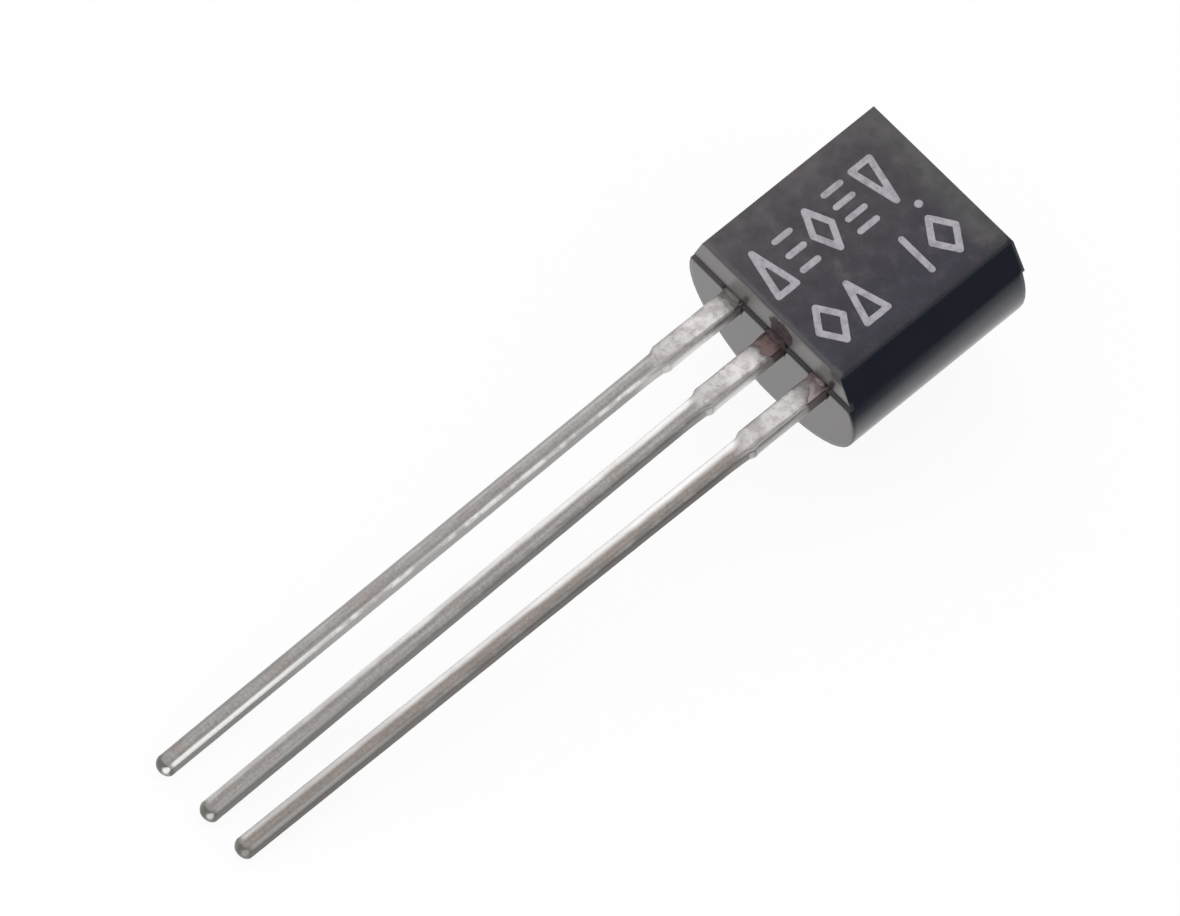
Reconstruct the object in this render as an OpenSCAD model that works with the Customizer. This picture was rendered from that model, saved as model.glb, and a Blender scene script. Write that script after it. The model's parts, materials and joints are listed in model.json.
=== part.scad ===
// Three-lead transistor in a moulded D-section package, lying at rest with its flat face up.
// Every piece is built in the package frame: x across the leads, y from the lead tips to the top of
// the body and z out of the flat face. The parting plane is z = 0, and its lead end is y = 0.

/* [Moulded body] */
// Length of each half of the body, measured on the parting plane
body_len = 4.58; // [4.0:0.02:6.0]
// Width of the flat marking face
flat_w = 4.06; // [3.4:0.02:4.6]
// Height of the flat face above the parting plane
flat_h = 0.92; // [0.8:0.02:1.6]
// Depth of the round back below the parting plane
back_depth = 3.12; // [2.8:0.02:3.6]
// Radius of the round back
back_r = 2.44; // [2.3:0.02:2.7]
// Mould draft of the two end walls, in degrees
draft = 1.5; // [0.5:0.5:4]
// Radius on the edges of the flat face
flat_edge_r = 0.08; // [0.04:0.01:0.16]
// Radius on the far and near edges of the round back
back_edge_r = 0.06; // [0.03:0.01:0.16]
// How far the flat half is shifted away from the leads, against the round half
mould_shift = 0.06; // [0.01:0.01:0.08]
// Height of the witness groove in the foot of the flat half at the lead end
groove_h = 0.11; // [0.05:0.01:0.2]
// Depth of the witness groove
groove_d = 0.05; // [0.02:0.01:0.12]

/* [Leads] */
// Spacing of the leads
pitch = 1.27; // [1.15:0.01:1.5]
// Sideways offset of the lead frame in the moulding
frame_shift = 0.15; // [0.0:0.01:0.2]
// Length of a lead from the body to its tip
lead_len = 14.78; // [5:0.1:18]
// Width of a lead
lead_w = 0.38; // [0.3:0.01:0.45]
// Thickness of the lead frame
lead_t = 0.38; // [0.3:0.01:0.5]
// Radius on the long edges of a lead
lead_edge_r = 0.09; // [0.04:0.01:0.14]
// Width of the stiff part next to the body, where the tie bar was cut away
dam_w = 0.5; // [0.46:0.01:0.65]
// Length of the stiff part outside the body
dam_len = 1.86; // [1:0.02:3]
// Radius on the long edges of the stiff part
dam_edge_r = 0.05; // [0.02:0.01:0.12]
// Length of the taper from the stiff part to the lead
shoulder_len = 0.14; // [0.05:0.01:0.4]
// Radius of the dome on a lead's tip
tip_r = 0.3; // [0.28:0.01:0.5]
// Sideways lean of the emitter lead, in degrees
emitter_lean = 0.6; // [-2:0.1:2]
// Sideways lean of the collector lead, in degrees
collector_lean = 0.8; // [-2:0.1:2]
// Sideways lean of the base lead, in degrees
base_lean = -0.2; // [-2:0.1:2]

/* [Lead frame inside the body] */
// Distance from the lead end to the die paddle
paddle_y = 1.35; // [1.2:0.05:1.6]
// Length of the die paddle
paddle_len = 1.7; // [1.2:0.1:2.0]
// Width of the die paddle
paddle_w = 1.5; // [1.2:0.02:1.9]
// Gap between the die paddle and each bond post
frame_gap = 0.28; // [0.15:0.01:0.4]
// Distance from the lead end to the bond posts
post_y = 1.0; // [0.7:0.05:1.2]
// Length of a bond post
post_len = 1.05; // [0.8:0.05:1.6]
// How far a bond post stands out past the edge of its lead
post_lip = 0.22; // [0.1:0.01:0.35]
// Radius of the half-round notches that lock the frame in the moulding
lock_r = 0.14; // [0.06:0.01:0.18]

/* [Die and bond wires] */
// Side of the square silicon die
die_w = 0.46; // [0.4:0.02:0.8]
// Thickness of the die
die_t = 0.2; // [0.1:0.01:0.3]
// Width of the die bond's fillet round the die
bond_margin = 0.05; // [0.02:0.01:0.1]
// Thickness of the die bond
bond_t = 0.02; // [0.01:0.005:0.05]
// Distance of the two bond pads from the middle of the die
pad_offset = 0.11; // [0.08:0.01:0.14]
// Diameter of a bond wire
wire_d = 0.04; // [0.02:0.005:0.05]
// Rise of a wire loop above the line between its ends
loop_h = 0.3; // [0.15:0.01:0.4]
// Diameter of the ball on the die end of a wire
ball_d = 0.1; // [0.06:0.01:0.14]
// Height of the ball and of the crushed foot at a wire's far end
ball_h = 0.03; // [0.02:0.005:0.05]

/* [Hidden] */
$fn = 64;
hull_fn = 32;
arc_steps = 5;
wire_sides = 8;
loop_rings = 14;
ball_sides = 12;
// How far a cutting shape runs past what it cuts, and how far two joined shapes run into each other
margin = 1;
slice = 0.01;

slope = tan(draft);

// The round back is one arc, past half a turn, whose ends meet the flat half's walls on the parting plane.
circle_z = back_r - back_depth;
parting_w = 2 * sqrt(back_r * back_r - circle_z * circle_z);

// Rest pose: the body lies on the lead-end edge of its round back, and on the three lead tips.
heel_y = back_depth * slope + back_edge_r;
tip_bevel = tip_r - sqrt(tip_r * tip_r - lead_t * lead_t / 4);
rest_tilt = atan((back_depth - lead_t) / (lead_len - tip_bevel + heel_y));
rest_height = back_depth * cos(rest_tilt) - heel_y * sin(rest_tilt);
rest_front = -lead_len * cos(rest_tilt);
rest_back = (body_len - heel_y) * cos(rest_tilt) + back_depth * sin(rest_tilt);
rest_middle = (rest_front + rest_back) / 2;

// Places on the lead frame
post_in = paddle_w / 2 + frame_gap;
post_out = pitch + dam_w / 2 + post_lip;
die_y = paddle_y + paddle_len / 2;
die_z = bond_t + die_t;
landing_x = (post_in + post_out) / 2;
landing_y = post_y + post_len / 2;

function unit(v) = v / norm(v);
function turned(a) = (a + 540) % 360 - 180;
// Points of an arc of radius r that rounds a corner of an outline
function corner_arc(before, corner, after, r) =
    let (
        a = unit(before - corner),
        b = unit(after - corner),
        reach = r / tan(acos(a * b) / 2),
        centre = corner + unit(a + b) * norm([r, reach]),
        from = corner + a * reach - centre,
        to = corner + b * reach - centre,
        start = atan2(from.y, from.x),
        sweep = turned(atan2(to.y, to.x) - start))
    [for (i = [0 : arc_steps]) let (t = start + sweep * i / arc_steps) centre + r * [cos(t), sin(t)]];
// An outline with a radius at each corner, where 0 keeps the corner sharp
function rounded(points, radii) =
    let (last = len(points) - 1)
    [for (i = [0 : last]) each radii[i] == 0 ? [points[i]]
        : corner_arc(points[i == 0 ? last : i - 1], points[i], points[i == last ? 0 : i + 1], radii[i])];

// Section of the flat half: x to the right and z up
module front_section() {
    polygon(rounded(
        [[-flat_w / 2, flat_h], [flat_w / 2, flat_h], [parting_w / 2, 0], [-parting_w / 2, 0]],
        [flat_edge_r, flat_edge_r, 0, 0]));
}
// Section of the round half
module back_section() {
    difference() {
        translate([0, circle_z]) circle(back_r);
        translate([-2 * back_r, 0]) square([4 * back_r, 2 * back_r]);
    }
}
// Profile of the body from its lead end to its top: the round half's ledge, the groove over it and
// the flat half, then the round half again
module body_profile() {
    groove_y = mould_shift + groove_d;
    flat_top = mould_shift + body_len;
    polygon(rounded(
        [[0, 0], [groove_y, 0], [groove_y, groove_h], [mould_shift + groove_h * slope, groove_h],
            [mould_shift + flat_h * slope, flat_h], [flat_top - flat_h * slope, flat_h],
            [flat_top, 0], [body_len, 0],
            [body_len - back_depth * slope, -back_depth], [back_depth * slope, -back_depth]],
        [0, 0, 0, 0, flat_edge_r, flat_edge_r, 0, 0, back_edge_r, back_edge_r]));
}

module full_length() {
    translate([0, body_len + margin, 0]) rotate([90, 0, 0])
        linear_extrude(body_len + 2 * margin) children();
}
module moulding() {
    intersection() {
        union() {
            full_length() front_section();
            full_length() back_section();
        }
        translate([-back_r - margin, 0, 0]) rotate([90, 0, 90])
            linear_extrude(2 * (back_r + margin)) body_profile();
    }
}

// Section of a lead, with its top on the parting plane
module lead_section(w, r) {
    translate([0, -lead_t / 2]) {
        square([w - 2 * r, lead_t], center = true);
        square([w, lead_t - 2 * r], center = true);
        for (x = [-1, 1], z = [-1, 1]) translate([x * (w / 2 - r), z * (lead_t / 2 - r)]) circle(r);
    }
}

module lead_bar(w, r, length) {
    rotate([90, 0, 0]) linear_extrude(length) lead_section(w, r);
}

// The leaning part of a lead, from the end of the stiff part to the domed tip
module lead_wire(lean) {
    wire_len = lead_len - dam_len;
    hull() {
        translate([0, slice, 0]) lead_bar(dam_w, dam_edge_r, slice, $fn = hull_fn);
        rotate([0, 0, lean]) translate([0, -shoulder_len, 0])
            lead_bar(lead_w, lead_edge_r, slice, $fn = hull_fn);
    }
    rotate([0, 0, lean]) intersection() {
        translate([0, -shoulder_len, 0]) lead_bar(lead_w, lead_edge_r, wire_len - shoulder_len);
        union() {
            translate([-lead_w, tip_r - wire_len, -2 * lead_t])
                cube([2 * lead_w, wire_len, 3 * lead_t]);
            translate([0, tip_r - wire_len, -lead_t / 2]) sphere(tip_r);
        }
    }
}

// The part of a lead that the moulding holds, with the stiff part outside: the child is its plan.
module lead_root(place) {
    translate([frame_shift + place * pitch, 0, 0]) lead_bar(dam_w, dam_edge_r, dam_len);
    translate([frame_shift, 0, -lead_t]) linear_extrude(lead_t) children();
}

// Plan of the collector lead's frame, with the paddle that carries the die
module paddle_plan() {
    translate([-dam_w / 2, 0]) square([dam_w, paddle_y + slice]);
    difference() {
        translate([-paddle_w / 2, paddle_y]) square([paddle_w, paddle_len]);
        for (side = [-1, 1]) translate([side * paddle_w / 2, paddle_y + paddle_len - 2 * lock_r])
            circle(lock_r);
    }
}

// Plan of an outer lead's frame, with the post that carries a wire: side is -1 left and 1 right.
module post_plan(side) {
    post_w = post_out - post_in;
    translate([side * pitch - dam_w / 2, 0]) square([dam_w, post_y + slice]);
    difference() {
        translate([side * landing_x - post_w / 2, post_y]) square([post_w, post_len]);
        translate([side * post_out, landing_y]) circle(lock_r);
    }
}

// A bond wire from the die to the top of a bond post: the loop is half an ellipse, so that both of
// its ends stand upright on what they are welded to.
module bond_wire(start, finish) {
    along = unit([finish.x - start.x, finish.y - start.y, 0]);
    across = [-along.y, along.x, 0];
    function share(i) = (1 - cos(180 * i / loop_rings)) / 2;
    function rise(i) = [0, 0, loop_h * sin(180 * i / loop_rings)];
    function centre(i) = start + share(i) * (finish - start) + rise(i);
    function heading(i) = i == 0 ? [0, 0, 1] : i == loop_rings ? [0, 0, -1]
        : unit(centre(i + 1) - centre(i - 1));
    function spoke(i, t) = cos(t) * cross(across, heading(i)) + sin(t) * across;
    rings = [for (i = [0 : loop_rings], k = [0 : wire_sides - 1])
        centre(i) + wire_d / 2 * spoke(i, 360 * k / wire_sides)];
    walls = [for (i = [0 : loop_rings - 1], k = [0 : wire_sides - 1])
        let (n = (k + 1) % wire_sides, a = i * wire_sides, b = a + wire_sides)
        each [[a + k, b + n, a + n], [a + k, b + k, b + n]]];
    ends = [[for (k = [0 : wire_sides - 1]) k],
        [for (k = [wire_sides - 1 : -1 : 0]) loop_rings * wire_sides + k]];
    polyhedron(rings, concat(walls, ends));
    for (spot = [start, finish]) translate(spot)
        cylinder(h = ball_h, d = ball_d, $fn = ball_sides);
}

module emitter_loop() {
    bond_wire([frame_shift - pad_offset, die_y, die_z], [frame_shift - landing_x, landing_y, 0]);
}

module base_loop() {
    bond_wire([frame_shift + pad_offset, die_y, die_z], [frame_shift + landing_x, landing_y, 0]);
}

module die_block(side, height) {
    translate([frame_shift - side / 2, die_y - side / 2, 0]) cube([side, side, height]);
}

// Turns the package frame to the rest pose, with the origin under the middle of the whole part
module at_rest() {
    translate([0, -rest_middle, rest_height]) rotate([rest_tilt, 0, 0]) children();
}

module emitter_root() {
    lead_root(-1) post_plan(-1);
}

module collector_root() {
    lead_root(0) paddle_plan();
}

module base_root() {
    lead_root(1) post_plan(1);
}

// A whole lead at its place on the pitch: the child is its root.
module lead(place, lean) {
    children();
    translate([frame_shift + place * pitch, -dam_len, 0]) lead_wire(lean);
}

module die_bond_form() {
    die_block(die_w + 2 * bond_margin, bond_t);
}

module silicon_form() {
    translate([0, 0, bond_t]) die_block(die_w, die_t);
}

module body() {
    color([0.12, 0.12, 0.13]) at_rest() difference() {
        moulding();
        emitter_root();
        collector_root();
        base_root();
        die_bond_form();
        silicon_form();
        emitter_loop();
        base_loop();
    }
}

module emitter_lead() {
    color([0.72, 0.7, 0.69]) at_rest() lead(-1, emitter_lean) emitter_root();
}

module collector_lead() {
    color([0.7, 0.67, 0.66]) at_rest() lead(0, collector_lean) collector_root();
}

module base_lead() {
    color([0.68, 0.65, 0.64]) at_rest() lead(1, base_lean) base_root();
}

module silicon_die() {
    color([0.35, 0.36, 0.4]) at_rest() silicon_form();
}

module die_bond() {
    color([0.8, 0.68, 0.35]) at_rest() die_bond_form();
}

module emitter_wire() {
    color([0.9, 0.72, 0.3]) at_rest() emitter_loop();
}

module base_wire() {
    color([0.9, 0.72, 0.3]) at_rest() base_loop();
}

body();
emitter_lead();
collector_lead();
base_lead();
silicon_die();
die_bond();
emitter_wire();
base_wire();
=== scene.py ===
import json
import math
import bpy
import numpy as np
from mathutils import Matrix, Vector, noise


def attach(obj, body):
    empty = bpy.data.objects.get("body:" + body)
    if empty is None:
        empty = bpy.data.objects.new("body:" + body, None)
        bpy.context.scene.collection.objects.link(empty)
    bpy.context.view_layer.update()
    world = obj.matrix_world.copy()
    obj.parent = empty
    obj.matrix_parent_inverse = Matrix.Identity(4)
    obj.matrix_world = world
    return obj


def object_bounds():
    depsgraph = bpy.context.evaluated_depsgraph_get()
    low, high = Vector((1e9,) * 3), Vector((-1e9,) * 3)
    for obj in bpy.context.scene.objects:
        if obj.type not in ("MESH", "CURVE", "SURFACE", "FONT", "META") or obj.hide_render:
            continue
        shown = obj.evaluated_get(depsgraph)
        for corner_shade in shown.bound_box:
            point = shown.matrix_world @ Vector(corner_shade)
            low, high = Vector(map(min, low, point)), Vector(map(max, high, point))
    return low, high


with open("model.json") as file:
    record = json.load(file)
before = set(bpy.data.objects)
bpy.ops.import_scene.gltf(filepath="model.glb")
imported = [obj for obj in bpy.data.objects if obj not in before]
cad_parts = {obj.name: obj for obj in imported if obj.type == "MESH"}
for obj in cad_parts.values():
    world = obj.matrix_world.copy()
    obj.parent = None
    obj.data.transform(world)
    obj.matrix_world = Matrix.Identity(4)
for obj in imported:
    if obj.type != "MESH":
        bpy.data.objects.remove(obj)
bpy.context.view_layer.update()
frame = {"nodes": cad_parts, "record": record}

MM = 0.001

# The moulding and the leads, in millimetres, as the solids have them
BODY_LENGTH = 4.58
MOULD_SHIFT = 0.06
FLAT_HEIGHT = 0.92
PITCH = 1.27
FRAME_SHIFT = 0.15
LEAD_LENGTH = 14.78
LEAD_THICKNESS = 0.38
LEAD_SIDE = 0.38
LEAD_EDGE = 0.09
STIFF_WIDTH = 0.5
STIFF_EDGE = 0.05
STIFF_LENGTH = 1.86
SHOULDER = 0.14

# The even coat of tin on a lead, how far it reaches past the lead's end, and the round cap that it ends in
COAT = 0.008
TIN_PAST_TIP = 0.12
CAP_DEPTH = 0.15
CAP_RADIUS = 0.2

# Bulges along the stiff part of a dipped lead: how heavy, how far from the body, and the spread
BULGES = ((0.8, 0.6, 0.22), (0.4, 1.05, 0.18), (0.3, 1.7, 0.2))

# The gaps between the rings of a tin skin, and the number of rings in its cap
STIFF_RING_GAP = 0.028
PLAIN_RING_GAP = 0.07
CAP_RINGS = 14

# How far the first ring is tucked into the lead, and the rows in which the skin swells out from there
TUCK = 0.003
SWELL_ROWS = 5

# Each lead takes its grain from another stretch of the noise, so far from the next one's
GRAIN_APART = 7.3

# The middle of the rounding at the far right corner of the flat: across and along
CORNER_MIDDLE = (1.80, 4.38)

# Where flash fills the groove and lifts its painted shade: the middle across, and half the width
GROOVE_FILLS = ((-1.17, 0.3), (1.18, 0.17))

# How strongly a painted shadow shows on the wall beside the neck at each place
NECK_SHADOWS = ((-1, 0.65), (0, 0.75), (1, 0.9))

# Brown patches on the walls over the necks: place, shift to the right, height, half width, half height and
# strength
BROWN_PATCHES = ((0, 0.13, 0.40, 0.34, 0.52, 1), (1, 0.06, 0.12, 0.30, 0.24, 0.35))

# The width of a stroke, and how high the ink stands over the flat: at its edge, its shoulder and its top
STROKE = 0.15
INK_EDGE = -0.004
INK_SHOULDER = 0.006
INK_TOP = 0.010

# The package frame: across the leads, from the leads to the top of the body, and out of the flat face
mounts = {mount["name"]: mount for mount in frame["record"]["mounts"]}
UP = Vector(mounts["marking_face"]["axis"])
ACROSS = Vector((1, 0, 0))
ALONG = UP.cross(ACROSS)
FLAT_MIDDLE = Vector(mounts["marking_face"]["pos_m"])
ORIGIN = FLAT_MIDDLE - ((MOULD_SHIFT + BODY_LENGTH / 2) * ALONG + FLAT_HEIGHT * UP) * MM


def in_place(points):
    """Takes points in package millimetres to where the part lies, in metres."""
    return np.asarray(points) @ np.array([ACROSS, ALONG, UP]) * MM + np.array(ORIGIN)


def lead_middle(place):
    """How far across the middle of a lead is: place is -1 for the left lead, 0 or 1."""
    return FRAME_SHIFT + place * PITCH


# ---------------------------------------------------------------- shader arithmetic


class Signal:
    """A value or colour that varies over a surface. Arithmetic on a value adds its Math nodes."""

    def __init__(self, finish, socket):
        self.finish = finish
        self.socket = socket

    def output(self, name):
        """Another output of the node that this signal comes from."""
        return Signal(self.finish, self.socket.node.outputs[name])

    def maths(self, operation, *terms):
        return self.finish.node("Math", {"operation": operation}, dict(enumerate(terms)))

    def __add__(self, other):
        return self.maths("ADD", self, other)

    def __radd__(self, other):
        return self.maths("ADD", other, self)

    def __sub__(self, other):
        return self.maths("SUBTRACT", self, other)

    def __rsub__(self, other):
        return self.maths("SUBTRACT", other, self)

    def __mul__(self, other):
        return self.maths("MULTIPLY", self, other)

    def __rmul__(self, other):
        return self.maths("MULTIPLY", other, self)

    def __truediv__(self, other):
        return self.maths("DIVIDE", self, other)

    def __neg__(self):
        return self.maths("MULTIPLY", self, -1)

    def most(self, other):
        return self.maths("MAXIMUM", self, other)

    def squared(self):
        return self * self

    def rise(self, start, end):
        """Goes softly from 0 where this value is start to 1 where it is end."""
        limits = {"Value": self, "From Min": start, "From Max": end}
        return self.finish.node("MapRange", {"interpolation_type": "SMOOTHSTEP"}, limits)

    def fall(self, start, end):
        """Goes softly from 1 where this value is start to 0 where it is end."""
        return 1 - self.rise(start, end)


class Finish:
    """A node tree of a material or of the world."""

    def __init__(self, owner):
        self.owner = owner
        owner.use_nodes = True
        self.tree = owner.node_tree
        self.tree.nodes.clear()

    def node(self, kind, settings=None, inputs=None, output=0):
        """Adds a node: its type, its settings, and the values or links of its sockets."""
        node = self.tree.nodes.new("ShaderNode" + kind)
        for name, value in (settings or {}).items():
            setattr(node, name, value)
        for name, value in (inputs or {}).items():
            if isinstance(value, Signal):
                self.tree.links.new(value.socket, node.inputs[name])
            elif isinstance(value, tuple) and node.inputs[name].type == "RGBA":
                node.inputs[name].default_value = (*value, 1)
            else:
                node.inputs[name].default_value = value
        return Signal(self, node.outputs[output]) if node.outputs else None

    def mix(self, first, second, share, blend="MIX"):
        """Goes from the first colour to the second by the share."""
        colours = {"Factor": share, 6: first, 7: second}
        return self.node("Mix", {"data_type": "RGBA", "blend_type": blend}, colours, 2)

    def axes(self):
        """The package frame at a point of the surface, in millimetres: across, along and up."""
        position = self.node("TexCoord", output="Object")
        found = []
        for axis in (ACROSS, ALONG, UP):
            reach = self.node("VectorMath", {"operation": "DOT_PRODUCT"}, {0: position, 1: axis}, "Value")
            found.append((reach - ORIGIN.dot(axis)) / MM)
        return found

    def point(self, across, along, up):
        return self.node("CombineXYZ", None, {0: across, 1: along, 2: up})

    def grain(self, point, scale, detail=3, roughness=0.6):
        """Noise from 0 to 1, with scale grains to the millimetre."""
        sockets = {"Vector": point, "Scale": scale, "Detail": detail, "Roughness": roughness}
        return self.node("TexNoise", None, sockets, "Fac")

    def facing(self, axis):
        """How far the surface faces along an axis, from -1 to 1."""
        normal = self.node("NewGeometry", output="Normal")
        return self.node("VectorMath", {"operation": "DOT_PRODUCT"}, {0: normal, 1: axis}, "Value")

    def bump(self, height, distance, **more):
        """A surface normal from a height of 0 to 1, which stands for a distance in millimetres."""
        return self.node("Bump", None, {"Height": height, "Distance": distance * MM, **more})

    def surface(self, **sockets):
        named = {name.replace("_", " ").title().replace("Ior", "IOR"): v for name, v in sockets.items()}
        return self.node("BsdfPrincipled", None, named)

    def done(self, shader, end="OutputMaterial"):
        self.node(end, None, {"Surface": shader})
        return self.owner


def new_finish(name):
    return Finish(bpy.data.materials.new(name))


# ---------------------------------------------------------------- finishes


def matte_flat(f, axes, grains):
    """The marking face: painted light towards its left side and its far end, painted shade towards its
    right edge and its far right corner, with warm stains.
    """
    across, along, _ = axes
    cloud, blotch, mottle, speck = grains
    bent_edge = f.node("Bevel", {"samples": 6}, {"Radius": 0.07 * MM})
    drift = across + (cloud - 0.5) * 1.6
    ragged = across + (mottle - 0.5) * 0.3
    far = (across * 0.8 + along).rise(5.0, 6.2).most(along.rise(3.8, 4.4))
    # Painted light towards the left side and the far end, and painted shade at the right edge
    colour = f.mix((0.044, 0.037, 0.045), (0.020, 0.0165, 0.031), drift.rise(-1.4, 1.9))
    colour = f.mix(colour, (0.068, 0.060, 0.066), ragged.fall(-1.9, -1.35) * 0.8)
    colour = f.mix(colour, (0.064, 0.062, 0.062), far * 0.8)
    colour = f.mix(colour, (0.010, 0.009, 0.018), ragged.rise(1.6, 1.98) * 0.85)
    colour = f.mix(colour, (0.070, 0.054, 0.051), blotch.rise(0.5, 0.72) * cloud.rise(0.4, 0.65) * 0.6)
    dust = mottle.rise(0.52, 0.78) * 0.35 + speck.rise(0.62, 0.8) * 0.3
    colour = f.mix(colour, (0.095, 0.090, 0.102), dust)
    colour = f.mix(colour, 0.25 + blotch * 1.5, 1, "MULTIPLY")

    # Painted light along the end at the leads, and painted shade where the far right corner turns down
    painted_end_light = (along + (mottle - 0.5) * 0.1).fall(0.10, 0.24)
    colour = f.mix(colour, (0.125, 0.122, 0.125), painted_end_light * 0.55)
    past_right = (across - CORNER_MIDDLE[0]).most(0)
    past_far = (along - CORNER_MIDDLE[1]).most(0)
    corner_shade = (past_right.squared() + past_far.squared()).rise(0.038, 0.056)
    colour = f.mix(colour, (0.003, 0.004, 0.007), corner_shade)
    return f.surface(
        base_color=colour, roughness=0.46 + 0.2 * mottle, specular_ior_level=0.4,
        normal=f.bump(mottle * 0.6 + speck * 0.4, 0.006, Normal=bent_edge))


def polished_walls(f, axes, grains, near_wall):
    """The drafted walls: near black and glossy, but frosted on the flat half's end at the leads, with
    painted light and shade there.
    """
    across, along, up = axes
    cloud, _, mottle, speck = grains
    bent_wall = f.node("Bevel", {"samples": 6}, {"Radius": 0.14 * MM})
    colour = f.mix((0.005, 0.007, 0.014), (0.009, 0.011, 0.020), cloud)
    colour = f.mix(colour, (0.021, 0.008, 0.009), near_wall)

    # The frosted end, with painted light towards its right end and painted shade in its upper right corner
    frosted = near_wall * up.rise(-0.05, 0.02)
    frost_and_light_tone = f.mix((0.161, 0.150, 0.149), (0.205, 0.196, 0.193), across.rise(1.72, 1.92))
    shaded = across.rise(1.65, 1.85) * up.rise(0.55, 0.70)
    frost_and_light_tone = f.mix(frost_and_light_tone, (0.020, 0.020, 0.022), shaded * 0.75)
    colour = f.mix(colour, frost_and_light_tone, frosted)

    # Painted shade in the groove under the flat half, darker in the middle, lifted where flash fills it
    groove_shade = up.rise(-0.03, 0.0) * up.fall(0.10, 0.135) * along.fall(0.11, 0.15)
    for middle, half in GROOVE_FILLS:
        groove_shade = groove_shade * (1 - 0.8 * ((across - middle) / half).squared().fall(0.6, 1.3))
    groove_shade_tone = f.mix((0.060, 0.057, 0.055), (0.026, 0.027, 0.026), across.rise(-1.7, -1.1))
    colour = f.mix(colour, groove_shade_tone, groove_shade)

    # A painted shadow climbs the wall beside each neck.
    for place, strength in NECK_SHADOWS:
        off_shadow = across - (lead_middle(place) + 0.27) - 0.28 * up + (mottle - 0.5) * 0.06
        neck_shadow = off_shadow.squared().fall(0.001, 0.009) * up.fall(0.40, 0.66) * frosted
        colour = f.mix(colour, (0.010, 0.011, 0.011), neck_shadow * strength)
    return f.surface(
        base_color=colour, roughness=0.14 + cloud * 0.08 + frosted * 0.22,
        normal=f.bump(mottle * 0.6 + speck * 0.4, 0.0012, Normal=bent_wall))


def patch_cover(axes, grains):
    """How far the brown patches cover a spot."""
    across, _, up = axes
    _, blotch, mottle, _ = grains
    cover = None
    for place, shift, height, half_width, half_height, strength in BROWN_PATCHES:
        sideways = (across - (lead_middle(place) + shift)) / half_width
        upwards = (up - height) / half_height
        spread = sideways.squared() + upwards.squared() + (blotch - 0.5) * 2.2 + (mottle - 0.5)
        spot = spread.fall(0.5, 1.15) * strength
        cover = spot if cover is None else cover.most(spot)
    return cover


def moulded_epoxy():
    """Black epoxy: matte and mottled on the flat, polished on the drafted walls, with brown patches over
    the necks.
    """
    f = new_finish("moulded_epoxy")
    axes = f.axes()
    up = axes[2]
    point = f.point(*axes)
    cloud = f.grain(point, 0.9, 4)
    blotch = f.grain(point, 2.6, 4)
    mottle = f.grain(point, 9, 5, 0.7)
    speck = f.grain(point, 26, 3, 0.7)
    grains = (cloud, blotch, mottle, speck)
    near_wall = f.facing(-ALONG).rise(0.7, 0.9)
    on_flat = up.rise(FLAT_HEIGHT - 0.05, FLAT_HEIGHT - 0.01)
    walls = polished_walls(f, axes, grains, near_wall)
    flat = matte_flat(f, axes, grains)
    clean = f.node("MixShader", None, {0: on_flat, 1: walls, 2: flat})
    patch_tone = f.mix((0.040, 0.026, 0.032), (0.090, 0.064, 0.072), mottle.rise(0.35, 0.65))
    patch_surface = f.surface(base_color=patch_tone, roughness=0.65, specular_ior_level=0.2)
    patch_share = patch_cover(axes, grains) * near_wall * up.rise(-0.16, -0.04)
    return f.done(f.node("MixShader", None, {0: patch_share, 1: clean, 2: patch_surface}))


def bare_neck(name, dark, light, metallic=0.4, flank_shade=0.65, edge_shade=0):
    """The oxidised metal of a neck, where the tin did not reach, or what has crept over it.

    The last two numbers say how much painted shade darkens its right flank and its left edge.
    """
    f = new_finish(name)
    across, along, up = f.axes()
    point = f.point(across, along, up)
    stain = f.grain(point, 6, 4)
    fine = f.grain(point, 24, 3)
    rightward = f.facing(ACROSS)
    colour = f.mix(dark, light, (stain - (along + 0.1) * 1.2).rise(0.3, 0.7))
    # Painted shade on the right flank and along its edge, and on the left edge
    colour = f.mix(colour, (0.045, 0.030, 0.024), rightward.rise(0.7, 0.95) * flank_shade)
    right_edge_shade = rightward.rise(0.2, 0.5) * rightward.fall(0.8, 0.97)
    colour = f.mix(colour, (0.030, 0.022, 0.018), right_edge_shade * 0.8)
    colour = f.mix(colour, (0.050, 0.030, 0.031), rightward.fall(-0.8, -0.3) * edge_shade)
    return f.done(f.surface(
        base_color=colour, metallic=metallic, roughness=0.45 + 0.25 * fine,
        normal=f.bump(stain * 0.6 + fine * 0.4, 0.008)))


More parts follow.
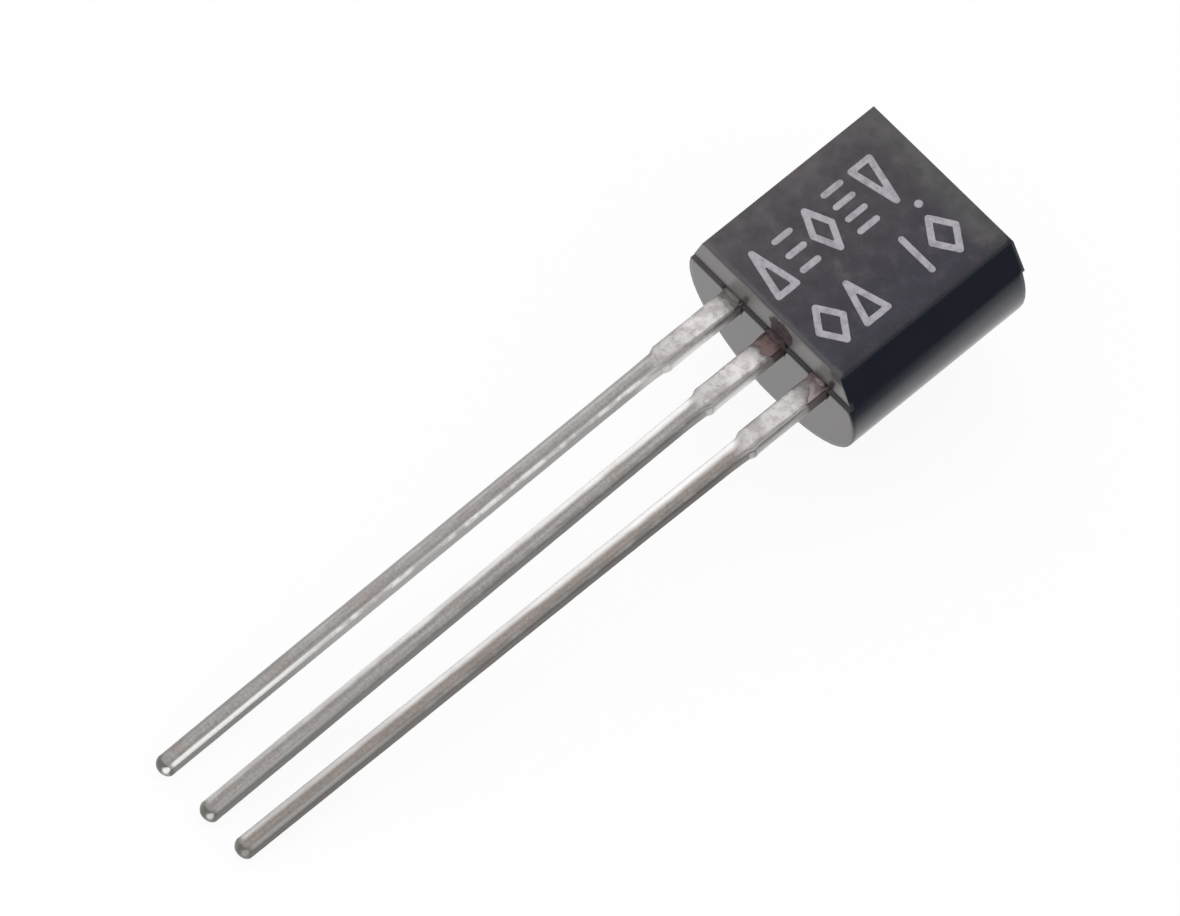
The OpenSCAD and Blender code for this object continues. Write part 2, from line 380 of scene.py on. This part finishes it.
class TinCoat(Finish):
    """Dipped tin: frosty and lumpy on the stiff part, faintly drawn and duller along the lead."""

    BRIGHT = (0.96, 0.95, 0.94)
    GLINT_AXIS = (0.62 * ACROSS - 0.58 * ALONG + 0.53 * UP).normalized()

    def __init__(self, name, lead):
        super().__init__(bpy.data.materials.new(name))
        self.lead = lead
        across, along, self.up = self.axes()
        self.reach = -along
        slant = (self.reach - STIFF_LENGTH).most(0) * math.tan(math.radians(lead["lean"]))
        self.side = across - lead_middle(lead["place"]) - slant
        apart = lead["place"] * GRAIN_APART
        point = self.point(self.side, along + apart, self.up)
        drawn = self.point(self.side * 14, along * 0.8 + apart, self.up * 14)
        ridge_highlight = self.point(self.side * 3, along * 2.2 + apart, self.up * 3)
        self.slow = self.grain(point, 0.8)
        self.frost = self.grain(point, 3.4, 4)
        self.dimple = self.grain(point, 9, 4)
        self.pepper = self.grain(point, 15, 2)
        self.fine = self.grain(point, 30)
        self.streak = self.grain(drawn, 1.0, 4)
        self.glimmer = self.grain(ridge_highlight, 1.0)
        self.rightward = self.facing(ACROSS)
        self.flank = self.rightward.rise(0.78, 0.96).most(self.facing(UP).fall(-0.35, -0.05))
        stiff_end = self.reach - self.side * lead["left_first"]
        self.stiff = stiff_end.fall(STIFF_LENGTH - 0.06, STIFF_LENGTH + 0.4)
        self.haze = self.left_highlight_haze()

    def left_highlight_haze(self):
        """How far a painted highlight haze, with a duller and rougher finish, covers the left of the drawn
        top. It thins out down the left flank.
        """
        middle, half = self.lead["haze_middle"], self.lead["haze_half"]
        ragged = self.side + (self.streak - 0.5) * 0.06 + (self.slow - 0.5) * 0.1
        ragged = ragged + self.reach.rise(3, 10) * half * 0.4
        haze = ragged.fall(middle - half, middle + half) * (1 - self.stiff) * self.lead["haze_share"]
        haze = haze * (1 - 0.3 * self.reach.rise(9.5, 13.5))
        return haze * (1 - 0.75 * self.rightward.fall(-0.97, -0.75))

    def stiff_colour(self):
        """Frosty tin with pits and bright grains, duller where it starts and where it ends, with painted
        shade, a painted reflection and painted highlights on its right side.
        """
        lead, reach, up = self.lead, self.reach, self.up
        colour = self.mix((0.42, 0.393, 0.387), (0.585, 0.568, 0.562), self.frost.rise(0.36, 0.6))
        colour = self.mix(colour, (0.29, 0.268, 0.262), self.dimple.rise(0.54, 0.68) * 0.66)
        bright_grains = self.fine.rise(0.6, 0.75) * self.frost.rise(0.5, 0.62)
        colour = self.mix(colour, (0.86, 0.85, 0.84), bright_grains * 0.5)
        shine = lead["stiff_shine"] - lead["far_shade"] * reach.rise(1.0, 1.6)
        shine = shine - lead["start_shade"] * reach.fall(0.45, 0.72)
        colour = self.mix(colour, shine, 1, "MULTIPLY")

        # The right side has painted shade above and a painted reflection below.
        upper = self.mix(lead["neck_flank"], lead["stiff_flank"], reach.rise(0.5, 1.0))
        lower = up.rise(-0.06, -0.26) * reach.rise(lead["lower_from"], lead["lower_from"] + 0.4)
        lower = lower * reach.fall(1.7, 2.0) * (1 - 0.14 * reach.rise(1.0, 1.4)) * lead["lower_shine"]
        colour = self.mix(colour, self.mix(upper, self.BRIGHT, lower), self.flank)

        # A painted shade line follows the right edge, with a painted highlight where the edge rounds over.
        off_edge_shade = self.side - 0.255 + 0.065 * reach.rise(0.5, 1.8)
        beside_flank = 1 - self.flank * (0.8 + 0.2 * up.rise(-0.02, -0.08))
        edge_shade_line = off_edge_shade.squared().fall(0, 0.0045) * beside_flank
        colour = self.mix(colour, (0.20, 0.178, 0.170), edge_shade_line * 0.58)
        rounding = self.rightward.rise(0.5, 0.78) * self.rightward.fall(0.97, 0.999)
        return self.mix(colour, self.BRIGHT, rounding * 0.42)

    def drawn_colour(self):
        """Brownish tin with streaks, a painted highlight along the top, painted light on the right side, a
        broken painted highlight along the right edge and a painted highlight haze on the left.
        """
        lead, reach = self.lead, self.reach
        # A painted highlight along the top
        crest = (self.side - lead["crest"]).squared().fall(0, 0.007) * (1 - self.flank)
        speckle = (0.26 + self.streak * 0.6 + self.pepper * 0.7) * (1 + 0.22 * crest)
        colour = self.mix(lead["tone"], (0.185, 0.155, 0.145), self.slow.rise(0.45, 0.7) * 0.5)
        colour = self.mix(colour, speckle, 1, "MULTIPLY")
        # Painted light on the right side, stronger next to the stiff part
        flank_tone = self.mix(lead["flank_tone"], 1 + 0.6 * reach.fall(2.3, 2.9), 1, "MULTIPLY")
        colour = self.mix(colour, flank_tone, self.flank * (1 - 0.6 * reach.rise(10, 13)))
        # A broken painted highlight along the right edge
        ridge_highlight = self.rightward.rise(0.08, 0.5) * self.rightward.fall(0.88, 1.0) * lead["ridge_shine"]
        glimmer = (self.glimmer.rise(0.42, 0.64) * 0.8).most(reach.rise(9.5, 12.5))
        colour = self.mix(colour, self.mix((0.56, 0.545, 0.535), (0.97, 0.97, 0.96), glimmer), ridge_highlight)
        return self.mix(colour, (0.97, 0.96, 0.95), self.haze)

    def finished(self):
        """The stiff part and the drawn part, with a dark cap that has a glint on its upper right."""
        lead, stiff, rightward = self.lead, self.stiff, self.rightward
        cap = self.reach.rise(LEAD_LENGTH - 0.16, LEAD_LENGTH - 0.04)
        glint = self.facing(self.GLINT_AXIS).rise(0.84, 0.96) * cap
        colour = self.mix(self.drawn_colour(), self.stiff_colour(), stiff)
        colour = self.mix(colour, (0.16, 0.155, 0.14), cap * 0.75)
        colour = self.mix(colour, (0.97, 0.98, 0.95), glint * lead["tip_shine"])

        below_ridge = rightward.rise(0.7, 0.88) * rightward.fall(0.94, 1.0)
        ridge_foot = below_ridge * (1 - stiff) * lead["ridge_shine"]
        bend = rightward.rise(0.3, 0.7) * (1 - stiff)
        roughness = 0.34 + (0.12 * self.frost + 0.1) * stiff * (1 - self.flank) + 0.18 * self.haze
        roughness = roughness + bend * (0.06 + 0.18 * lead["ridge_shine"])
        lumps = 0.7 * self.dimple + 0.3 * self.fine
        lines = 0.3 * self.streak + 0.1 * self.fine
        return self.done(self.surface(
            base_color=colour, metallic=0.92 - 0.4 * self.haze - 0.4 * ridge_foot, roughness=roughness,
            normal=self.bump(stiff * lumps + (1 - stiff) * lines, 0.012)))


def printed_ink():
    """Pale lilac-grey marking ink with a chalky, slightly broken surface."""
    f = new_finish("printed_ink")
    across, along, up = f.axes()
    point = f.point(across, along, up)
    chalk = f.grain(point, 7, 4, 0.7)
    fine = f.grain(point, 38, 3, 0.6)
    colour = f.mix((0.255, 0.240, 0.270), (0.39, 0.37, 0.405), chalk.rise(0.3, 0.6))
    return f.done(f.surface(
        base_color=colour, roughness=0.6 + 0.25 * fine, normal=f.bump(chalk * 0.5 + fine * 0.5, 0.006)))


def sawn_silicon():
    """Polished silicon with faint saw lines."""
    f = new_finish("sawn_silicon")
    across, along, up = f.axes()
    lines = f.grain(f.point(across * 3, along * 60, up * 60), 1, 3)
    colour = f.mix((0.12, 0.125, 0.15), (0.24, 0.25, 0.28), lines)
    return f.done(f.surface(base_color=colour, metallic=0.6, roughness=0.15 + 0.2 * lines))


def drawn_gold():
    """Bright gold with faint die lines."""
    f = new_finish("drawn_gold")
    across, along, up = f.axes()
    lines = f.grain(f.point(across * 5, along * 40, up * 40), 1, 3)
    colour = f.mix((0.83, 0.58, 0.20), (0.95, 0.72, 0.30), lines)
    return f.done(f.surface(base_color=colour, metallic=1, roughness=0.18 + 0.15 * lines))


# ---------------------------------------------------------------- pieces


def piece(name, points, faces, finish):
    """A closed mesh that lies in the package frame, in millimetres."""
    mesh = bpy.data.meshes.new(name)
    mesh.from_pydata([tuple(p) for p in in_place(points)], [], faces)
    mesh.materials.append(finish)
    mesh.shade_smooth()
    mesh.validate()
    made = bpy.data.objects.new(name, mesh)
    bpy.context.scene.collection.objects.link(made)
    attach(made, "root")
    return made


def closed_rings(rings, count):
    """Faces between rings of count points each, closed by fans to two last points: start and end."""
    faces = []
    for row in range(rings - 1):
        a, b = row * count, (row + 1) * count
        for k in range(count):
            n = (k + 1) % count
            faces.append((a + k, a + n, b + n, b + k))
    last = (rings - 1) * count
    start_point, end_point = rings * count, rings * count + 1
    for k in range(count):
        n = (k + 1) % count
        faces.append((n, k, start_point))
        faces.append((last + k, last + n, end_point))
    return faces


def lead_section(width, thickness, radius, steps=5, between=6):
    """Points round a lead's section, and the directions that the surface faces there."""
    points = []
    facing = []
    corners = [(1, 1), (-1, 1), (-1, -1), (1, -1)]
    centres = [Vector((sx * (width / 2 - radius), sz * (thickness / 2 - radius))) for sx, sz in corners]
    for i, centre in enumerate(centres):
        for k in range(steps):
            turn = math.radians(90 * i + 90 * k / (steps - 1))
            out = Vector((math.cos(turn), math.sin(turn)))
            points.append(centre + radius * out)
            facing.append(out)
        out = facing[-1]
        end = centres[(i + 1) % 4] + radius * out
        start = points[-1]
        for k in range(1, between + 1):
            points.append(start.lerp(end, k / (between + 1)))
            facing.append(out)
    return np.array(points), np.array(facing)


def bell(value, middle, spread):
    return math.exp(-(((value - middle) / spread) ** 2))


def coat_thickness(spot, out, reach, seed, lead):
    """Thickness of the tin in millimetres at a spot that faces out, reach away from the body."""
    here = Vector((spot[0], spot[1] + seed * 11.7, spot[2]))
    lump = noise.fractal(here * 3.4, 0.8, 2.1, 2) * 0.5 + 0.5
    dent = noise.noise(here * 9)
    wave = noise.noise(Vector((seed * 3.1, reach * 0.55, 0.4))) + 0.4 * noise.noise(here * 1.8)
    rightward, leftward, downward = max(out[0], 0), max(-out[0], 0), max(-out[2], 0)
    stiff = 1 / (1 + math.exp((reach - STIFF_LENGTH - 0.02) / 0.05))
    heavy = sum((weight * bell(reach, middle, spread) for weight, middle, spread in BULGES), 0.2)
    dipped = COAT + heavy * max(lump, 0) * 0.05 + 0.004 * dent
    dipped *= 1 - 0.9 * leftward - 0.85 * rightward - 0.85 * downward * (1 - rightward - leftward)
    plain = COAT + 0.004 * wave + 0.002 * dent
    neck = lead["fillet"] * math.exp(-max(reach - STIFF_LENGTH, 0) / 0.5) * (0.3 + 0.7 * leftward)
    past = max(reach - STIFF_LENGTH - 0.1, 0)
    skirt = (0.03 * math.exp(-past / 0.22) + lead["run"] * math.exp(-past / 6)) * rightward
    return stiff * dipped + (1 - stiff) * (plain + neck * 0.03 + skirt)


def skin_reaches(start):
    """Distances from the body at which a tin skin has its rings: closer on the stiff part and the cap."""
    shoulder_end = STIFF_LENGTH + SHOULDER + 0.3
    cap_start = LEAD_LENGTH + TIN_PAST_TIP - CAP_DEPTH
    stiff = list(np.arange(start, shoulder_end, STIFF_RING_GAP))
    plain = list(np.arange(stiff[-1] + 0.06, cap_start - 0.02, PLAIN_RING_GAP))
    turns = np.linspace(0, math.pi / 2, CAP_RINGS + 1)[:-1]
    return stiff + plain + [cap_start + CAP_DEPTH * math.sin(turn) for turn in turns]


def skin_ring(row, reach, outline, facing, seed, lead):
    """One ring of a tin skin round its lead: ragged at the start, and rounded to a cap at the tip."""
    past = (reach - LEAD_LENGTH - TIN_PAST_TIP) / CAP_DEPTH + 1
    count = len(facing)
    ring = []
    for k in range(count):
        flat_spot = outline[k]
        out = np.array([facing[k][0], 0, facing[k][1]])
        if past > 0:
            room = math.sqrt(1 - past**2)
            radius = np.linalg.norm(flat_spot) * (1 - past) + CAP_RADIUS * past
            flat_spot = flat_spot / np.linalg.norm(flat_spot) * radius * room
            out = out * room + np.array([0, -past, 0])
        turn = 2 * math.pi * k / count
        ragged = noise.noise(Vector((math.cos(turn) * 1.6, math.sin(turn) * 1.6, seed * 5.3)))
        ragged += 0.5 * noise.noise(Vector((math.cos(turn) * 5, math.sin(turn) * 5, seed * 2.7)))
        drift = 0.13 * ragged - lead["slope"] * flat_spot[0]
        here = reach + drift * math.exp(-(reach - lead["start"]) / 0.2)
        spot = np.array([flat_spot[0], -here, flat_spot[1] - LEAD_THICKNESS / 2])
        thick = coat_thickness(spot, out, here, seed, lead)
        swell = math.sin(min(row / SWELL_ROWS, 1) * math.pi / 2)
        ring.append(spot + out * (swell * (thick + TUCK) - TUCK))
    return ring


def tinned_skin(name, lead, seed, finish):
    """The tin on a lead: a closed skin from its ragged start at the neck to the cap on the tip."""
    stiff_points, facing = lead_section(STIFF_WIDTH, LEAD_THICKNESS, STIFF_EDGE)
    wire_points, _ = lead_section(LEAD_SIDE, LEAD_THICKNESS, LEAD_EDGE)
    rings = []
    for row, reach in enumerate(skin_reaches(lead["start"])):
        share = min(max((reach - STIFF_LENGTH) / SHOULDER, 0), 1)
        outline = stiff_points * (1 - share) + wire_points * share
        rings.append(skin_ring(row, reach, outline, facing, seed, lead))
    middle = -LEAD_THICKNESS / 2
    ends = [[0, -lead["start"] - 0.02, middle], [0, -LEAD_LENGTH - TIN_PAST_TIP - COAT, middle]]
    local = np.concatenate([np.reshape(rings, (-1, 3)), ends])

    # Past the stiff part, the skin leans with its lead.
    angle = math.radians(lead["lean"])
    beyond = np.maximum(-local[:, 1] - STIFF_LENGTH, 0)
    leaning = beyond > 0
    x, y = local[:, 0].copy(), local[:, 1].copy()
    local[:, 0] = np.where(leaning, x * math.cos(angle) + beyond * math.sin(angle), x)
    local[:, 1] = np.where(leaning, -STIFF_LENGTH - beyond * math.cos(angle) + x * math.sin(angle), y)
    local[:, 0] += lead_middle(lead["place"])
    return piece(name, local, closed_rings(len(rings), len(facing)), finish)


def bead(name, centre, reach, seed, finish):
    """A lump that has crept over the ledge of the moulding onto a lead: an uneven ellipsoid."""
    rings, count = 14, 24
    points = []
    for row in range(1, rings + 1):
        tilt = math.pi * row / (rings + 1)
        round_out = math.sin(tilt)
        for k in range(count):
            turn = 2 * math.pi * k / count
            out = Vector((math.cos(tilt), round_out * math.cos(turn), round_out * math.sin(turn)))
            swell = 1 + 0.16 * noise.noise(out * 1.7 + Vector((seed, 0, 0)))
            points.append([c + r * o * swell for c, r, o in zip(centre, reach, out)])
    points.append([centre[0] + reach[0], centre[1], centre[2]])
    points.append([centre[0] - reach[0], centre[1], centre[2]])
    return piece(name, points, closed_rings(rings, count), finish)


# ---------------------------------------------------------------- marks on the flat


def uneven(spot):
    """A stroke's share of its full width at a spot, as a worn pad leaves it."""
    return 1 + 0.12 * noise.noise(Vector((spot[0] * 6, spot[1] * 6, 3.1)))


def bar_rails(start, end):
    """The right and left rails of a straight stroke with round ends."""
    start, end = np.array(start, float), np.array(end, float)
    length = np.linalg.norm(end - start)
    ahead = (end - start) / length
    sideways = np.array([-ahead[1], ahead[0]])
    steps, between, blunt = 6, 8, 0.04
    cap = [STROKE / 2 * (1 - math.cos(math.pi / 2 * k / steps)) for k in range(steps + 1)]
    stops = cap + list(np.linspace(STROKE / 2, length - STROKE / 2, between + 1)[1:-1])
    stops += [length - c for c in reversed(cap)]
    right, left = [], []
    for stop in stops:
        inwards = min(stop, length - stop, STROKE / 2) / (STROKE / 2)
        half = STROKE / 2 * max(math.sqrt(1 - (1 - inwards) ** 2), blunt) * uneven(start)
        right.append(start + ahead * stop - sideways * half)
        left.append(start + ahead * stop + sideways * half)
    return right, left, False


def loop_rails(corners):
    """The outer and inner rails of a stroke round a polygon, anticlockwise.

    Its corners are rounded outside and crisp inside.
    """
    corners = [np.array(c, float) for c in corners]
    half, crisp, steps, between = STROKE / 2, 0.02, 6, 6
    outer, inner = [], []
    for i, here in enumerate(corners):
        arriving = here - corners[i - 1]
        leaving = corners[(i + 1) % len(corners)] - here
        first = math.atan2(-arriving[0], arriving[1])
        swing = (math.atan2(-leaving[0], leaving[1]) - first) % (2 * math.pi)
        bisector = np.array([math.cos(first + swing / 2), math.sin(first + swing / 2)])
        inner_centre = here - bisector * (half + crisp) / math.cos(swing / 2)
        for k in range(steps + 1):
            turn = first + swing * k / steps
            out = np.array([math.cos(turn), math.sin(turn)])
            outer.append(here + out * half * uneven(here))
            inner.append(inner_centre + out * crisp)
    count = steps + 1
    right, left = [], []
    for i in range(len(corners)):
        right += outer[i * count:(i + 1) * count]
        left += inner[i * count:(i + 1) * count]
        after = (i + 1) % len(corners) * count
        for k in range(1, between):
            share = k / between
            worn_at = right[-1] + share
            spread = (uneven(worn_at) - 1) * 0.5
            out = outer[i * count + steps] * (1 - share) + outer[after] * share
            within = inner[i * count + steps] * (1 - share) + inner[after] * share
            right.append(out + (out - within) * spread * math.sin(math.pi * share))
            left.append(within)
    return right, left, True


def ink_band(right, left, closed):
    """Points and faces of one inked stroke between two rails on the flat face."""
    half_profile = [(0, INK_EDGE), (0.04, INK_SHOULDER), (0.2, INK_TOP)]
    profile = half_profile + [(1 - share, rise) for share, rise in reversed(half_profile)]
    points = []
    for here, other in zip(right, left):
        for share, rise in profile:
            place = here + (other - here) * share
            points.append((place[0], place[1], FLAT_HEIGHT + rise))
    faces = []
    span, count = len(profile), len(right)
    for i in range(count if closed else count - 1):
        a, b = i * span, (i + 1) % count * span
        for k in range(span):
            n = (k + 1) % span
            faces.append((a + k, b + k, b + n, a + n))
    if not closed:
        faces.append(tuple(range(span)))
        faces.append(tuple(reversed(range((count - 1) * span, count * span))))
    return points, faces


def ink_dot(x, y):
    """Points and faces of a low disc of ink with a soft edge."""
    profile = ((0.092, INK_EDGE), (0.09, INK_SHOULDER), (0.07, INK_TOP))
    turns = [2 * math.pi * k / 20 for k in range(20)]
    points = [
        (x + radius * math.cos(turn), y + radius * math.sin(turn), FLAT_HEIGHT + rise)
        for radius, rise in profile for turn in turns]
    points += [(x, y, FLAT_HEIGHT + INK_EDGE), (x, y, FLAT_HEIGHT + INK_TOP)]
    return points, closed_rings(len(profile), len(turns))


def flat_marks(finish):
    """Two rows of plain geometric marks and a dot on the flat face, read along the body."""
    strokes = []

    def triangle(x, y, tall, wide, turn=1):
        tip, foot = x - turn * tall / 2, x + turn * tall / 2
        strokes.append(loop_rails([(tip, y), (foot, y - turn * wide / 2), (foot, y + turn * wide / 2)]))

    def diamond(x, y, tall, wide):
        ends = [(x - tall / 2, y), (x, y - wide / 2), (x + tall / 2, y), (x, y + wide / 2)]
        strokes.append(loop_rails(ends))

    def bars(x, y, tall, wide, count):
        for k in range(count):
            middle = x + tall * (k / (count - 1) - 0.5)
            strokes.append(bar_rails((middle, y - wide / 2), (middle, y + wide / 2)))

    row_one, row_two = -0.66, 1.01
    tall_one, tall_two = 1.08, 0.94
    triangle(row_one, 0.63, tall_one, 0.46)
    bars(row_one, 1.33, 0.84, 0.52, 3)
    diamond(row_one, 2.02, tall_one, 0.48)
    bars(row_one, 2.75, tall_one, 0.56, 4)
    triangle(row_one - 0.03, 3.52, tall_one, 0.48, -1)
    diamond(row_two, 0.76, tall_two, 0.62)
    triangle(row_two, 1.56, tall_two, 0.54)
    strokes.append(bar_rails((row_two - 0.52, 3.01), (row_two + 0.52, 3.01)))
    diamond(row_two + 0.02, 3.71, tall_two, 0.62)
    points, faces = ink_dot(0.20, 3.785)
    for rails in strokes:
        more_points, more_faces = ink_band(*rails)
        faces += [tuple(i + len(points) for i in face) for face in more_faces]
        points += more_points
    return piece("flat_marks", points, faces, finish)


# ---------------------------------------------------------------- dressing the solids

grey_neck = bare_neck("grey_neck", (0.175, 0.163, 0.158), (0.28, 0.262, 0.256), 0.4, 0.2)
red_neck = bare_neck("red_neck", (0.080, 0.046, 0.047), (0.20, 0.135, 0.130), 0.4, 0.45, 0.8)
brown_neck = bare_neck("brown_neck", (0.17, 0.128, 0.125), (0.37, 0.315, 0.31))
grey_flash = bare_neck("grey_flash", (0.17, 0.160, 0.158), (0.23, 0.218, 0.214), 0, 0.3)
red_flash = bare_neck("red_flash", (0.045, 0.026, 0.028), (0.12, 0.080, 0.082), 0)
silicon = sawn_silicon()
gold = drawn_gold()
for node_name, finish in (
        ("body", moulded_epoxy()), ("emitter_lead", grey_neck), ("collector_lead", red_neck),
        ("base_lead", brown_neck), ("silicon_die", silicon), ("die_bond", gold),
        ("emitter_wire", gold), ("base_wire", gold)):
    for slot in frame["nodes"][node_name].material_slots:
        slot.material = finish

# place: on the pitch, from the middle lead
# lean: past the stiff part, in degrees
# start, slope: where the tin begins, and how much sooner it does so to the right
# fillet, run: how full the shoulder is, and how much tin ran down the right side
# tone, flank_tone: the top of the drawn part, and the painted light on its right side
# crest: where across the drawn part the painted highlight on top lies
# stiff_shine, start_shade, far_shade: the top of the stiff part, and how much duller its two ends are
# left_first: how much sooner the stiff part's frost ends on the left
# neck_flank, stiff_flank: the painted shade of the right side of the stiff part, at its start and further
# on
# lower_from, lower_shine: where the painted reflection on the lower half of that side starts, and how
# strong it is
# haze_middle, haze_half, haze_share: where the painted highlight haze ends on the right, how softly, and
# how dense it is
# ridge_shine, tip_shine: the painted highlight along the right edge, and the painted glint on the cap
# flash_reach, flash: half sizes and finish of the flash at the neck
LEADS = {
    "emitter": {
        "place": -1, "lean": 0.6, "start": 0.12, "slope": 0, "fillet": 0.2, "run": 0,
        "tone": (0.176, 0.169, 0.164), "flank_tone": (0.48, 0.465, 0.455), "crest": -0.02,
        "stiff_shine": 1.05, "start_shade": 0.05, "far_shade": 0.24, "left_first": 0,
        "neck_flank": (0.32, 0.29, 0.28), "stiff_flank": (0.42, 0.40, 0.39), "lower_from": 0.1,
        "lower_shine": 0.85,
        "haze_middle": -0.08, "haze_half": 0.05, "haze_share": 0.28, "ridge_shine": 1, "tip_shine": 1,
        "flash_reach": (0.22, 0.085, 0.075), "flash": grey_flash},
    "collector": {
        "place": 0, "lean": 0.8, "start": 0.33, "slope": 0.42, "fillet": 0.4, "run": 0.008,
        "tone": (0.182, 0.172, 0.166), "flank_tone": (0.215, 0.205, 0.198), "crest": 0.09,
        "stiff_shine": 1.06, "start_shade": 0.32, "far_shade": 0.22, "left_first": 0.2,
        "neck_flank": (0.40, 0.36, 0.345), "stiff_flank": (0.36, 0.345, 0.335), "lower_from": 0.6,
        "lower_shine": 0.8,
        "haze_middle": -0.078, "haze_half": 0.085, "haze_share": 1, "ridge_shine": 0.28, "tip_shine": 0.6,
        "flash_reach": (0.29, 0.12, 0.15), "flash": red_flash},
    "base": {
        "place": 1, "lean": -0.2, "start": 0.28, "slope": -0.7, "fillet": 0.1, "run": 0.020,
        "tone": (0.144, 0.127, 0.117), "flank_tone": (0.19, 0.174, 0.164), "crest": 0.06,
        "stiff_shine": 0.93, "start_shade": 0.25, "far_shade": 0.06, "left_first": 0.7,
        "neck_flank": (0.38, 0.345, 0.33), "stiff_flank": (0.25, 0.235, 0.225), "lower_from": 0.6,
        "lower_shine": 0.5,
        "haze_middle": -0.055, "haze_half": 0.105, "haze_share": 1, "ridge_shine": 0.30, "tip_shine": 0.2,
        "flash_reach": (0.21, 0.09, 0.08), "flash": brown_neck}}
for number, (name, lead) in enumerate(LEADS.items(), 1):
    tinned_skin(name + "_tin", lead, number, TinCoat(name + "_tin", lead).finished())
    centre = (lead_middle(lead["place"]), 0.05, -0.01)
    bead(name + "_bead", centre, lead["flash_reach"], number, lead["flash"])
creep_centre = (lead_middle(0) - 0.235, -0.14, -0.07)
bead("collector_creep", creep_centre, (0.045, 0.19, 0.09), 5, red_flash)
flat_marks(printed_ink())

# ---------------------------------------------------------------- stage, light and camera


def seen_by(f):
    """Is 1 for rays from the camera, and 1 for rays that gloss or glass sends on."""
    camera = f.node("LightPath", output="Is Camera Ray")
    return camera, camera.output("Is Glossy Ray").most(camera.output("Is Transmission Ray"))


def studio_floor():
    """A white sheet that keeps a faint shadow, and looks dark in gloss far to the right."""
    half = 0.6
    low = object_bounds()[0].z
    mesh = bpy.data.meshes.new("floor")
    corners = [(-half, -half, low), (half, -half, low), (half, half, low), (-half, half, low)]
    mesh.from_pydata(corners, [], [(0, 1, 2, 3)])
    floor = bpy.data.objects.new("floor", mesh)
    bpy.context.scene.collection.objects.link(floor)
    f = new_finish("white_sheet")
    camera, glossy = seen_by(f)
    across, along, _ = f.axes()
    dimmed = f.mix((1, 1, 1), (0.86, 0.86, 0.86), across.rise(0.8, 2.8))
    in_gloss = f.mix(dimmed, (0.035, 0.038, 0.055), (across - along.most(0) * 0.35).rise(3.0, 5.3))
    seen = f.mix(in_gloss, (1, 1, 1), camera)
    glow = f.node("Emission", None, {"Color": seen, "Strength": 1})
    paper = f.node("BsdfDiffuse", None, {"Color": (0.9, 0.9, 0.9)})
    share = camera.most(glossy) * 0.92
    mesh.materials.append(f.done(f.node("MixShader", None, {0: share, 1: paper, 2: glow})))


def studio_world():
    """White all round."""
    world = bpy.data.worlds.new("studio")
    bpy.context.scene.world = world
    f = Finish(world)
    camera, _ = seen_by(f)
    colour = f.mix((0.9, 0.9, 0.9), (1, 1, 1), camera)
    f.done(f.node("Background", None, {"Color": colour, "Strength": 1}), "OutputWorld")


def soft_lamp(name, place, size, power):
    lamp = bpy.data.lights.new(name, "AREA")
    lamp.shape = "DISK"
    lamp.size = size
    lamp.energy = power
    made = bpy.data.objects.new(name, lamp)
    made.location = place
    made.rotation_euler = (-Vector(place)).to_track_quat("-Z", "Y").to_euler()
    bpy.context.scene.collection.objects.link(made)


def aim_camera():
    """A long lens, high to the front right, with the frame turned a little to the left."""
    azimuth, elevation, roll = (math.radians(a) for a in (41.344, 56.305, 8.883))
    aim = Vector((-0.2080, 0.3303, 2.5769)) * MM
    distance = 195.001 * MM
    back = Vector((
        math.sin(azimuth) * math.cos(elevation), -math.cos(azimuth) * math.cos(elevation),
        math.sin(elevation)))
    level = Vector((0, 0, 1)).cross(back).normalized()
    upright = back.cross(level)
    right = math.cos(roll) * level + math.sin(roll) * upright
    top = back.cross(right)
    lens = bpy.data.cameras.new("camera")
    lens.sensor_width = 36
    lens.lens = 305.08
    lens.clip_start = 10 * MM
    camera = bpy.data.objects.new("camera", lens)
    turn = Matrix((right, top, back)).transposed().to_4x4()
    camera.matrix_world = Matrix.Translation(aim + back * distance) @ turn
    bpy.context.scene.collection.objects.link(camera)
    bpy.context.scene.camera = camera


studio_floor()
studio_world()
soft_lamp("soft_overhead", (-0.05, 0.02, 0.16), 0.12, 0.05)
aim_camera()
bpy.context.scene.view_settings.view_transform = "Standard"
